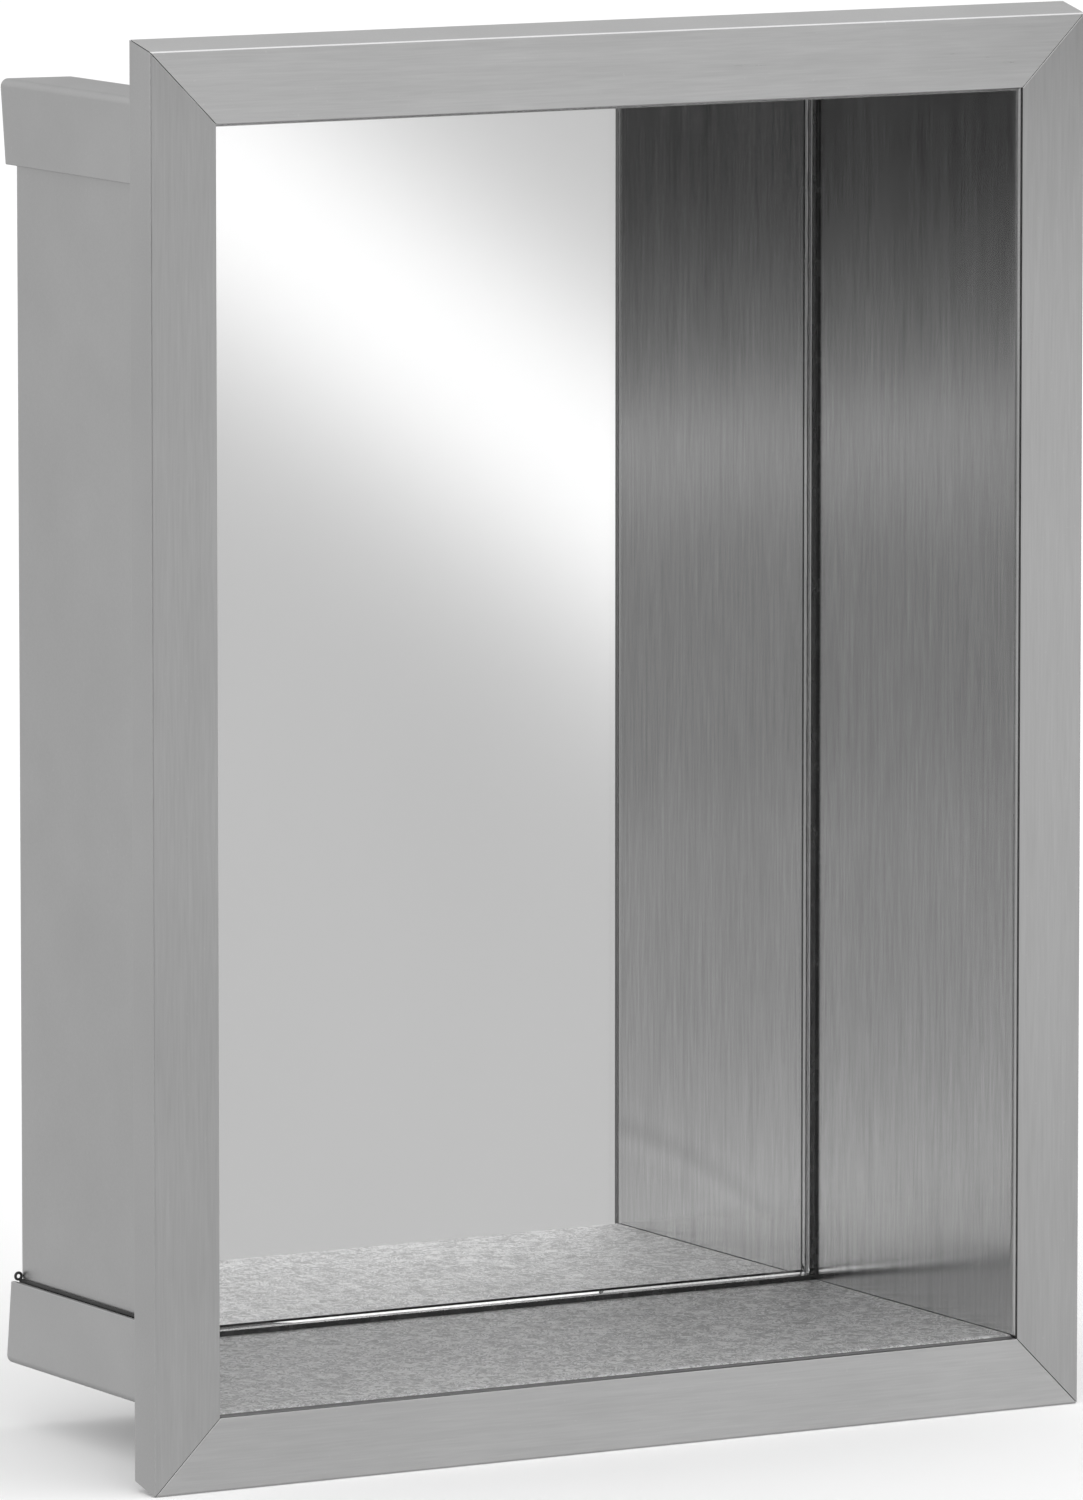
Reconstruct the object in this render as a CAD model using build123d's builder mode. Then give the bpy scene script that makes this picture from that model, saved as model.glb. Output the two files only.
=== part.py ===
from build123d import *
import os

# Recessed stainless steel wall niche with a mirror for its back wall and a mitred face frame.
# X runs across the opening, Y runs into the wall, Z is up. All sizes are in millimetres.

# --- face frame: four folded channels, mitred at the corners ---
FRAME_WIDTH = 300.0
FRAME_HEIGHT = 400.0
FACE_WIDTH = 20.5        # flat face of each rail
FLANGE_DEPTH = 12.5      # how far the outer flange turns back
FLANGE_RAKE = 2.9        # rise of the top and bottom flanges over that depth
LIP_WIDTH = 13.0         # rear return lip that seats on the wall
RAIL_SHEET = 1.2
ARRIS_RADIUS = 0.6       # folded front edge
REAR_BEND_RADIUS = 1.0

# --- shell: four folded panels ---
SIDE_INSET = 20.8        # from the frame's outer edge to the inner faces of the side walls
FLAT_INSET = 21.5        # the same for the ceiling and the floor
SHELL_SHEET = 1.2
FRONT_FLANGE = 10.0      # turned outwards behind the face of the frame
REAR_FLANGE = 14.0       # turned inwards behind the mirror
FRONT_BEND = 2.3
REAR_BEND = 1.8
SEAT_INSIDE_RADIUS = 0.6
CEILING_HOLE_RADIUS = 2.25
CEILING_HOLE_SPACING = 160.0
CEILING_HOLE_DEPTH = 60.0

# --- mirror and back ---
GLASS_FACE_DEPTH = 113.6
GLASS_THICKNESS = 3.0
SILVER_THICKNESS = 0.3   # coating and its lacquer on the back of the glass
GLASS_SIDE_GAP = 0.8     # beside the glass, filled by the gasket
GLASS_FLAT_GAP = 1.5     # above and below the glass
GLASS_BEVEL = 0.7
GASKET_STAND = 2.4       # how far the gasket stands out in front of the glass
GASKET_DEPTH = 3.8
GASKET_ROUNDING = 0.35
COVER_SHEET = 1.0
COVER_MARGIN = 2.0       # from the shell's inner faces to the cover's edge
PAD_MARGIN = 15.0        # from the shell's inner faces to the foam pad

# --- corner angles outside the shell ---
ANGLE_SHEET = 1.5
ANGLE_SIDE_LEG = 24.0
ANGLE_FLAT_LEG = 21.0
ANGLE_OUTER_BEND = 2.3
ANGLE_INNER_BEND = 0.8
ANGLE_FRONT_DEPTH = 6.0
ANGLE_REAR_DEPTH = 121.4
ANGLE_TAPER = 2.8        # the free edges end this much before the bend
SIDE_STANDOFF = 1.2      # space between the side walls and the angles
CEILING_STANDOFF = 2.8
FLOOR_STANDOFF = 0.9
TAPE_MARGIN = 3.0
TAPE_FRONT_DEPTH = 22.0
TAPE_REAR_DEPTH = 112.0

# --- seam seals ---
SEAL_FRONT_DEPTH = 13.0
SEAL_LIFT = 0.3          # seal axis above the angle's free edge
RING_OUTER_RADIUS = 1.35
RING_WIRE_RADIUS = 0.4
RING_CLEARANCE = 0.05
RING_DEPTH = 116.5

# --- fasteners ---
STUD_RADIUS = 1.5
STUD_LENGTH = 7.0
STUD_HOLE_RADIUS = 1.7
STUD_INSET = 6.0         # from the shell's inner face to the stud
NUT_ACROSS_CORNERS = 6.35
NUT_HEIGHT = 2.4
NUT_BORE_RADIUS = 1.55
SIDE_STUD_HEIGHTS = [70.0, 156.0, 244.0, 330.0]
FLAT_STUD_PLACES = [-80.0, 0.0, 80.0]
RIVET_RADIUS = 1.6
RIVET_HOLE_RADIUS = 1.65
RIVET_HEAD_RADIUS = 3.0
RIVET_HEAD_HEIGHT = 1.3
RIVET_INSET = 7.0        # from the shell's inner face to the rivet
SIDE_RIVET_HEIGHTS = [60.0, 153.0, 247.0, 340.0]
FLAT_RIVET_PLACES = [-84.0, 0.0, 84.0]
KEY_NEAR_INSET = 3.0
KEY_FAR_INSET = 10.5
KEY_LEG = 48.0
KEY_THICKNESS = 2.0

# --- derived places ---
FRONT = -ANGLE_REAR_DEPTH / 2
HALF_WIDTH = FRAME_WIDTH / 2
WALL_X = HALF_WIDTH - SIDE_INSET
FLOOR_Z = FLAT_INSET
CEILING_Z = FRAME_HEIGHT - FLAT_INSET
GLASS_REAR_DEPTH = GLASS_FACE_DEPTH + GLASS_THICKNESS
SEAT_DEPTH = GLASS_REAR_DEPTH + SILVER_THICKNESS
SHELL_REAR_DEPTH = SEAT_DEPTH + SHELL_SHEET
COVER_REAR_DEPTH = SHELL_REAR_DEPTH + COVER_SHEET
ANGLE_X = WALL_X + SHELL_SHEET + SIDE_STANDOFF + ANGLE_SHEET
ANGLE_LOW_Z = FLOOR_Z - SHELL_SHEET - FLOOR_STANDOFF - ANGLE_SHEET
ANGLE_HIGH_Z = CEILING_Z + SHELL_SHEET + CEILING_STANDOFF + ANGLE_SHEET
SIDES = [("left", -1), ("right", 1)]
LEVELS = [("top", 1), ("bottom", -1)]


def facing_plane(depth):
    """Plane across the opening, at a depth behind the face, with X across and Z up."""
    return Plane.XZ.offset(-(FRONT + depth))


def save(piece, name):
    """Name the finished piece and write it."""
    piece.part.label = name
    export_step(piece.part, f"parts/{name}.step")


def round_corner(sketch, corner, radius):
    """Round the sketch corner nearest to a point."""
    fillet(sketch.vertices().sort_by_distance(corner)[0], radius)


def channel_corners(edge, inward, rake):
    """Corners of a rail's section as (depth, across), from the face's inner edge round to itself."""
    def corner(depth, inset):
        return (FRONT + depth, edge + rake * depth / FLANGE_DEPTH + inward * inset)

    inner_depth = FLANGE_DEPTH - RAIL_SHEET
    return [
        corner(0, FACE_WIDTH),
        corner(0, 0),
        corner(FLANGE_DEPTH, 0),
        corner(FLANGE_DEPTH, LIP_WIDTH),
        corner(inner_depth, LIP_WIDTH),
        corner(inner_depth, RAIL_SHEET),
        corner(RAIL_SHEET, RAIL_SHEET),
        corner(RAIL_SHEET, FACE_WIDTH),
    ]


def mitre_wedge(corners):
    """Keep only what lies between two mitre planes, which follow the rake of the flanges."""
    with BuildSketch(facing_plane(0)) as wedge:
        Polygon(*corners, align=None)
    extrude(
        wedge.sketch,
        amount=2 * FLANGE_DEPTH,
        dir=(0, FLANGE_DEPTH, FLANGE_RAKE),
        both=True,
        mode=Mode.INTERSECT,
    )


def make_flat_rail(name, level):
    """Top or bottom rail: a channel along X with a raked flange."""
    edge = FRAME_HEIGHT if level > 0 else 0.0
    corners = channel_corners(edge, -level, FLANGE_RAKE)
    over = 2 * FACE_WIDTH
    with BuildPart() as rail:
        with BuildSketch(Plane.YZ) as section:
            Polygon(*corners, align=None)
            round_corner(section, corners[1], ARRIS_RADIUS)
            round_corner(section, corners[2], REAR_BEND_RADIUS)
        extrude(amount=HALF_WIDTH, both=True)
        mitre_wedge([
            (-HALF_WIDTH - over, edge + level * over),
            (HALF_WIDTH + over, edge + level * over),
            (HALF_WIDTH - over, edge - level * over),
            (-HALF_WIDTH + over, edge - level * over),
        ])
    save(rail, name)


def make_side_rail(name, side):
    """Left or right rail: a channel along Z with a square flange."""
    edge = side * HALF_WIDTH
    corners = [(across, depth) for depth, across in channel_corners(edge, -side, 0.0)]
    over = 2 * FACE_WIDTH
    with BuildPart() as rail:
        with BuildSketch(Plane.XY.offset(-FLANGE_DEPTH)) as section:
            Polygon(*corners, align=None)
            round_corner(section, corners[1], ARRIS_RADIUS)
            round_corner(section, corners[2], REAR_BEND_RADIUS)
        extrude(amount=FRAME_HEIGHT + 2 * FLANGE_DEPTH)
        mitre_wedge([
            (edge + side * over, -over),
            (edge + side * over, FRAME_HEIGHT + over),
            (edge - side * over, FRAME_HEIGHT - over),
            (edge - side * over, over),
        ])
    save(rail, name)


def make_corner_key(name, side, level):
    """Flat angle plate bonded behind a mitre of the frame."""
    corner_x = side * HALF_WIDTH
    corner_z = FRAME_HEIGHT if level > 0 else 0.0

    def inset(across, down):
        return (corner_x - side * across, corner_z - level * down)

    with BuildPart() as key:
        with BuildSketch(facing_plane(RAIL_SHEET + KEY_THICKNESS)):
            Polygon(
                inset(KEY_NEAR_INSET, KEY_NEAR_INSET),
                inset(KEY_LEG, KEY_NEAR_INSET),
                inset(KEY_LEG, KEY_FAR_INSET),
                inset(KEY_FAR_INSET, KEY_FAR_INSET),
                inset(KEY_FAR_INSET, KEY_LEG),
                inset(KEY_NEAR_INSET, KEY_LEG),
                align=None,
            )
        extrude(amount=KEY_THICKNESS)
    save(key, name)


def panel_corners(inner, outward):
    """Corners of a shell panel's section as (across, depth), starting at the front flange's tip."""
    def corner(out, depth):
        return (inner + outward * out, FRONT + depth)

    return [
        corner(FRONT_FLANGE, RAIL_SHEET),
        corner(0, RAIL_SHEET),
        corner(0, SEAT_DEPTH),
        corner(-REAR_FLANGE, SEAT_DEPTH),
        corner(-REAR_FLANGE, SHELL_REAR_DEPTH),
        corner(SHELL_SHEET, SHELL_REAR_DEPTH),
        corner(SHELL_SHEET, RAIL_SHEET + SHELL_SHEET),
        corner(FRONT_FLANGE, RAIL_SHEET + SHELL_SHEET),
    ]


def panel_section(section, corners):
    """Draw a panel's section with its four sheet metal bends."""
    Polygon(*corners, align=None)
    round_corner(section, corners[1], FRONT_BEND)
    round_corner(section, corners[2], SEAT_INSIDE_RADIUS)
    round_corner(section, corners[5], REAR_BEND)
    round_corner(section, corners[6], FRONT_BEND - SHELL_SHEET)


def drill(depth, places, radius, reach):
    """Cut round holes through what lies within reach of a depth, along Y."""
    with BuildSketch(facing_plane(depth)) as holes:
        with Locations(*places):
            Circle(radius)
    extrude(holes.sketch, amount=reach, both=True, mode=Mode.SUBTRACT)


def side_places(side, inset, heights):
    """Fastener places along a side wall."""
    return [(side * (WALL_X + inset), height) for height in heights]


def flat_places(level, inset, places):
    """Fastener places along the ceiling or the floor."""
    wall = CEILING_Z if level > 0 else FLOOR_Z
    return [(place, wall + level * inset) for place in places]


def make_side_panel(name, side):
    """Left or right wall, full height, with its rear flange cut back at both ends."""
    corners = panel_corners(side * WALL_X, side)
    height = CEILING_Z - FLOOR_Z + 2 * SHELL_SHEET
    flange_x = side * (WALL_X + SHELL_SHEET + FRONT_FLANGE / 2)
    seat_x = side * (WALL_X - REAR_FLANGE / 2)
    with BuildPart() as panel:
        with BuildSketch(Plane.XY.offset(FLOOR_Z - SHELL_SHEET)) as section:
            panel_section(section, corners)
        extrude(amount=height)
        for level_z in (FLOOR_Z - SHELL_SHEET, CEILING_Z + SHELL_SHEET):
            with BuildSketch(facing_plane(0)):
                with Locations((flange_x, level_z)):
                    Rectangle(FRONT_FLANGE, 2 * SHELL_SHEET)
            extrude(amount=-(RAIL_SHEET + FRONT_BEND), mode=Mode.SUBTRACT)
            with BuildSketch(facing_plane(SHELL_REAR_DEPTH)):
                with Locations((seat_x, level_z)):
                    Rectangle(REAR_FLANGE, 2 * (REAR_FLANGE + SHELL_SHEET))
            extrude(amount=SHELL_SHEET + SEAT_INSIDE_RADIUS, mode=Mode.SUBTRACT)
        drill(RAIL_SHEET, side_places(side, STUD_INSET, SIDE_STUD_HEIGHTS), STUD_HOLE_RADIUS, 2 * SHELL_SHEET)
        drill(SHELL_REAR_DEPTH, side_places(side, -RIVET_INSET, SIDE_RIVET_HEIGHTS),
              RIVET_HOLE_RADIUS, 2 * SHELL_SHEET)
    save(panel, name)


def make_flat_panel(name, level):
    """Ceiling or floor, fitted between the side panels."""
    wall = CEILING_Z if level > 0 else FLOOR_Z
    corners = [(depth, across) for across, depth in panel_corners(wall, level)]
    with BuildPart() as panel:
        with BuildSketch(Plane.YZ) as section:
            panel_section(section, corners)
        extrude(amount=WALL_X, both=True)
        drill(RAIL_SHEET, flat_places(level, STUD_INSET, FLAT_STUD_PLACES), STUD_HOLE_RADIUS, 2 * SHELL_SHEET)
        drill(SHELL_REAR_DEPTH, flat_places(level, -RIVET_INSET, FLAT_RIVET_PLACES),
              RIVET_HOLE_RADIUS, 2 * SHELL_SHEET)
        if level > 0:
            with BuildSketch(Plane.XY.offset(CEILING_Z)):
                with Locations((0, FRONT + CEILING_HOLE_DEPTH)):
                    with GridLocations(CEILING_HOLE_SPACING, 0, 2, 1):
                        Circle(CEILING_HOLE_RADIUS)
            extrude(amount=2 * SHELL_SHEET, both=True, mode=Mode.SUBTRACT)
    save(panel, name)


def niche_rectangle(side_margin, flat_margin):
    """A rectangle centred on the opening, smaller than it by a margin at the sides and one above and below."""
    with Locations((0, FRAME_HEIGHT / 2)):
        Rectangle(2 * (WALL_X - side_margin), CEILING_Z - FLOOR_Z - 2 * flat_margin)


def make_sheet(name, side_margin, flat_margin, front_depth, thickness):
    """A flat rectangular sheet across the back of the niche."""
    with BuildPart() as sheet:
        with BuildSketch(facing_plane(front_depth)):
            niche_rectangle(side_margin, flat_margin)
        extrude(amount=-thickness)
    save(sheet, name)


def make_glass():
    """Clear glass of the mirror, with a ground bevel round its face."""
    with BuildPart() as glass:
        with BuildSketch(facing_plane(GLASS_FACE_DEPTH)):
            niche_rectangle(GLASS_SIDE_GAP, GLASS_FLAT_GAP)
        extrude(amount=-GLASS_THICKNESS)
        chamfer(glass.faces().sort_by(Axis.Y)[0].edges(), GLASS_BEVEL)
    save(glass, "mirror_glass")


def make_gasket():
    """Black bead between the edge of the glass and the walls, with a rounded front edge."""
    with BuildPart() as gasket:
        with BuildSketch(facing_plane(GLASS_FACE_DEPTH - GASKET_STAND)):
            niche_rectangle(0, 0)
        extrude(amount=-GASKET_DEPTH)
        with BuildSketch(facing_plane(GLASS_FACE_DEPTH - GASKET_STAND)):
            niche_rectangle(GLASS_SIDE_GAP, GLASS_FLAT_GAP)
        extrude(amount=-GASKET_DEPTH, mode=Mode.SUBTRACT)
        fillet(gasket.faces().sort_by(Axis.Y)[0].inner_wires()[0].edges(), GASKET_ROUNDING)
    save(gasket, "mirror_gasket")


def rivet_places():
    """Every rivet of the back cover."""
    places = []
    for _, side in SIDES:
        places += side_places(side, -RIVET_INSET, SIDE_RIVET_HEIGHTS)
    for _, level in LEVELS:
        places += flat_places(level, -RIVET_INSET, FLAT_RIVET_PLACES)
    return places


def make_back_cover():
    """Thin sheet riveted to the rear flanges of the shell."""
    with BuildPart() as cover:
        with BuildSketch(facing_plane(SHELL_REAR_DEPTH)):
            niche_rectangle(COVER_MARGIN, COVER_MARGIN)
        extrude(amount=-COVER_SHEET)
        drill(SHELL_REAR_DEPTH, rivet_places(), RIVET_HOLE_RADIUS, 2 * COVER_SHEET)
    save(cover, "back_cover")


def make_rivets():
    """Dome headed rivets, flush with the front of the flanges."""
    with BuildPart() as rivets:
        with BuildSketch(facing_plane(COVER_REAR_DEPTH)):
            with Locations(*rivet_places()):
                Circle(RIVET_RADIUS)
        extrude(amount=COVER_SHEET + SHELL_SHEET)
        with BuildSketch(facing_plane(COVER_REAR_DEPTH)):
            with Locations(*rivet_places()):
                Circle(RIVET_HEAD_RADIUS)
        extrude(amount=-RIVET_HEAD_HEIGHT)
        crowns = rivets.faces().group_by(Axis.Y)[-1].edges()
        fillet(crowns, RIVET_HEAD_HEIGHT * 0.9)
    save(rivets, "back_cover_rivets")


def stud_places():
    """Every stud behind the face of the frame."""
    places = []
    for _, side in SIDES:
        places += side_places(side, STUD_INSET, SIDE_STUD_HEIGHTS)
    for _, level in LEVELS:
        places += flat_places(level, STUD_INSET, FLAT_STUD_PLACES)
    return places


def make_studs():
    """Threaded studs welded behind the face, so that no fixing shows in front."""
    with BuildPart() as studs:
        with BuildSketch(facing_plane(RAIL_SHEET)):
            with Locations(*stud_places()):
                Circle(STUD_RADIUS)
        extrude(amount=-STUD_LENGTH)
    save(studs, "frame_studs")


def make_nuts():
    """Hexagon nuts that clamp the shell's front flanges to the frame."""
    with BuildPart() as nuts:
        with BuildSketch(facing_plane(RAIL_SHEET + SHELL_SHEET)):
            with Locations(*stud_places()):
                RegularPolygon(NUT_ACROSS_CORNERS / 2, 6)
                Circle(NUT_BORE_RADIUS, mode=Mode.SUBTRACT)
        extrude(amount=-NUT_HEIGHT)
    save(nuts, "flange_nuts")


def make_corner_angle(name, side, level):
    """L section along a long outer edge of the shell, with rear ends that taper to the free edges."""
    outer_x = side * ANGLE_X
    outer_z = ANGLE_HIGH_Z if level > 0 else ANGLE_LOW_Z

    def inset(across, down):
        return (outer_x - side * across, outer_z - level * down)

    corners = [
        inset(0, 0),
        inset(ANGLE_FLAT_LEG, 0),
        inset(ANGLE_FLAT_LEG, ANGLE_SHEET),
        inset(ANGLE_SHEET, ANGLE_SHEET),
        inset(ANGLE_SHEET, ANGLE_SIDE_LEG),
        inset(0, ANGLE_SIDE_LEG),
    ]
    rear = FRONT + ANGLE_REAR_DEPTH
    with BuildPart() as angle:
        with BuildSketch(facing_plane(ANGLE_REAR_DEPTH)) as section:
            Polygon(*corners, align=None)
            round_corner(section, corners[0], ANGLE_OUTER_BEND)
            round_corner(section, corners[3], ANGLE_INNER_BEND)
        extrude(amount=ANGLE_REAR_DEPTH - ANGLE_FRONT_DEPTH)
        with BuildSketch(Plane.YZ.offset(outer_x - side * ANGLE_SHEET / 2)):
            Polygon(
                (rear, outer_z - level * ANGLE_OUTER_BEND),
                (rear + ANGLE_TAPER, outer_z - level * ANGLE_SIDE_LEG),
                (rear - ANGLE_TAPER, outer_z - level * ANGLE_SIDE_LEG),
                align=None,
            )
        extrude(amount=ANGLE_SHEET, both=True, mode=Mode.SUBTRACT)
        with BuildSketch(Plane.XY.offset(outer_z - level * ANGLE_SHEET / 2)):
            Polygon(
                (outer_x - side * ANGLE_OUTER_BEND, rear),
                (outer_x - side * ANGLE_FLAT_LEG, rear + ANGLE_TAPER),
                (outer_x - side * ANGLE_FLAT_LEG, rear - ANGLE_TAPER),
                align=None,
            )
        extrude(amount=ANGLE_SHEET, both=True, mode=Mode.SUBTRACT)
    save(angle, name)


def make_side_tapes():
    """Bonding tapes between the side walls and the upright legs of the angles."""
    width = ANGLE_SIDE_LEG - ANGLE_SHEET - 2 * TAPE_MARGIN
    middle = ANGLE_SHEET + TAPE_MARGIN + width / 2
    places = [
        (side * (WALL_X + SHELL_SHEET + SIDE_STANDOFF / 2), outer_z)
        for _, side in SIDES
        for outer_z in (ANGLE_LOW_Z + middle, ANGLE_HIGH_Z - middle)
    ]
    with BuildPart() as tapes:
        with BuildSketch(facing_plane(TAPE_REAR_DEPTH)):
            with Locations(*places):
                Rectangle(SIDE_STANDOFF, width)
        extrude(amount=TAPE_REAR_DEPTH - TAPE_FRONT_DEPTH)
    save(tapes, "side_bonding_tapes")


def make_flat_tapes(name, near_z, thickness):
    """Bonding tapes between the ceiling or floor and the flat legs of the angles."""
    width = ANGLE_FLAT_LEG - ANGLE_SHEET - 2 * TAPE_MARGIN
    middle = ANGLE_SHEET + TAPE_MARGIN + width / 2
    with BuildPart() as tapes:
        with BuildSketch(facing_plane(TAPE_REAR_DEPTH)):
            with Locations(*[(side * (ANGLE_X - middle), near_z) for _, side in SIDES]):
                Rectangle(width, thickness)
        extrude(amount=TAPE_REAR_DEPTH - TAPE_FRONT_DEPTH)
    save(tapes, name)


def make_seam_seal(name, side):
    """Rubber bead in the seam above a bottom angle, moulded with a small pull ring at the back."""
    radius = SIDE_STANDOFF / 2
    edge_z = ANGLE_LOW_Z + ANGLE_SIDE_LEG
    axis_x = side * (WALL_X + SHELL_SHEET + radius)
    ring_x = side * (WALL_X + SHELL_SHEET + RING_OUTER_RADIUS + RING_CLEARANCE)
    ring_z = edge_z + SEAL_LIFT + RING_OUTER_RADIUS
    ring_plane = Plane(origin=(ring_x, FRONT + RING_DEPTH, ring_z), x_dir=(1, 0, 0), z_dir=(0, -1, 0))
    with BuildPart() as seal:
        with BuildSketch(facing_plane(RING_DEPTH)):
            with Locations((axis_x, edge_z + SEAL_LIFT)):
                Circle(radius)
        extrude(amount=RING_DEPTH - SEAL_FRONT_DEPTH)
        with Locations(ring_plane):
            Torus(RING_OUTER_RADIUS - RING_WIRE_RADIUS, RING_WIRE_RADIUS)
    save(seal, name)


for level_name, level_sign in LEVELS:
    make_flat_rail(f"frame_{level_name}_rail", level_sign)
for side_name, side_sign in SIDES:
    make_side_rail(f"frame_{side_name}_rail", side_sign)
    make_side_panel(f"{side_name}_side_panel", side_sign)
    make_seam_seal(f"{side_name}_seam_seal", side_sign)
    for level_name, level_sign in LEVELS:
        make_corner_key(f"corner_key_{level_name}_{side_name}", side_sign, level_sign)
        make_corner_angle(f"corner_angle_{level_name}_{side_name}", side_sign, level_sign)
make_flat_panel("ceiling_panel", 1)
make_flat_panel("floor_panel", -1)
make_glass()
make_gasket()
make_sheet("mirror_silver", GLASS_SIDE_GAP, GLASS_FLAT_GAP, GLASS_REAR_DEPTH, SILVER_THICKNESS)
make_sheet("mirror_pad", PAD_MARGIN, PAD_MARGIN, SEAT_DEPTH, SHELL_SHEET)
make_back_cover()
make_rivets()
make_studs()
make_nuts()
make_side_tapes()
make_flat_tapes("ceiling_bonding_tapes", CEILING_Z + SHELL_SHEET + CEILING_STANDOFF / 2, CEILING_STANDOFF)
make_flat_tapes("floor_bonding_tapes", FLOOR_Z - SHELL_SHEET - FLOOR_STANDOFF / 2, FLOOR_STANDOFF)
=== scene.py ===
import logging
import math
from collections.abc import Callable, Iterable, Sequence
from dataclasses import dataclass
from enum import Enum
from functools import reduce

import bmesh
import bpy
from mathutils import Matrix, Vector


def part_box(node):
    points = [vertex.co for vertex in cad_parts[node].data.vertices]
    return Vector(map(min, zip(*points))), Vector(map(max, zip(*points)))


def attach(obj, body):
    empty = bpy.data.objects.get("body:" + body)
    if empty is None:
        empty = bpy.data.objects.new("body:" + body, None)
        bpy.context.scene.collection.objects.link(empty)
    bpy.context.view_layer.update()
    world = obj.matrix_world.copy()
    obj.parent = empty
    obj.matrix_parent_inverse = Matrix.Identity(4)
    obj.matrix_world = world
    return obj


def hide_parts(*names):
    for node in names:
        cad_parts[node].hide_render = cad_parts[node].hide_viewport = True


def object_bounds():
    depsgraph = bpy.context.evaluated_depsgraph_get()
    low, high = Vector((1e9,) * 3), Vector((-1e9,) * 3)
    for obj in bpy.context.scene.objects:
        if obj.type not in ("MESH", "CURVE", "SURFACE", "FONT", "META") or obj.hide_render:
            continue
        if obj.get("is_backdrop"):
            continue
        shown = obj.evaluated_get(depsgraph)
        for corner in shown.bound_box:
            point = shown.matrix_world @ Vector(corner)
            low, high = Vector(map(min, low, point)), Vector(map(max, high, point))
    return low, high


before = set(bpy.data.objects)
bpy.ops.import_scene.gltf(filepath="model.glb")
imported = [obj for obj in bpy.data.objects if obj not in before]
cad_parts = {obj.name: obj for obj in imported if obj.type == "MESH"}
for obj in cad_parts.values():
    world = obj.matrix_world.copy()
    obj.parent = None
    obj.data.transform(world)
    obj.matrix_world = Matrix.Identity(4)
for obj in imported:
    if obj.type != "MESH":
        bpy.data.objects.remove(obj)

# Looks of an open steel wall niche with a mirror for its back wall. Metres, Z up, X across, Y into the wall.

Socket, Node, NodeTree = bpy.types.NodeSocket, bpy.types.Node, bpy.types.NodeTree
Piece, Mesh, Material = bpy.types.Object, bpy.types.Mesh, bpy.types.Material
WorkMesh = bmesh.types.BMesh

MM = 0.001
BODY = "root"
GRAIN_MAP = "grain"
SIDES = ("left", "right")
CORNERS = ("top_left", "top_right", "bottom_left", "bottom_right")
WHITE = (1.0, 1.0, 1.0)
BACKWARDS = (math.radians(-90.0), 0.0, 0.0)  # turns what was built upwards to point into the wall

# Most values of a noise texture lie between these.
NOISE_SPREAD = (0.3, 0.7)

# Brushing: scale along the lines, scale across them, and detail.
HAIR_LINES = (70.0, 1700.0, 3.0)
BROAD_LINES = (30.0, 700.0, 2.0)
STREAKS = (4.0, 130.0, 2.0)
HAIR_SHARE = 0.65

# Orbital sanding, in lengths of one scratch.
SANDER_TURNS = (0.3, 1.4, 2.4)
SWIRL_SCALE = 0.9
SWIRL_PUSH = (1.6, 1.6, 0.0)
SCRATCH_SCALE = (0.8, 9.0, 1.0)
SCRATCH_SUM_RANGE = (1.2, 1.8)

# How far each kind of mark moves the tone of bare steel.
CLOUD_SHADE = (0.97, 1.03)
BROAD_SHADE = (0.98, 1.02)
SPECK_SHADE = 1.06
LINE_SHARE = 0.6  # of the roughness; the broad variation has the rest

log = logging.getLogger("niche")


class Axis(Enum):
    """A direction of the frame."""

    X = 0
    Y = 1
    Z = 2


class Grain(Enum):
    """How a sheet of steel was finished."""

    ACROSS = "across"
    UPRIGHT = "upright"
    ORBITAL = "orbital"
    PLAIN = "plain"


# Node helpers.


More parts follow.
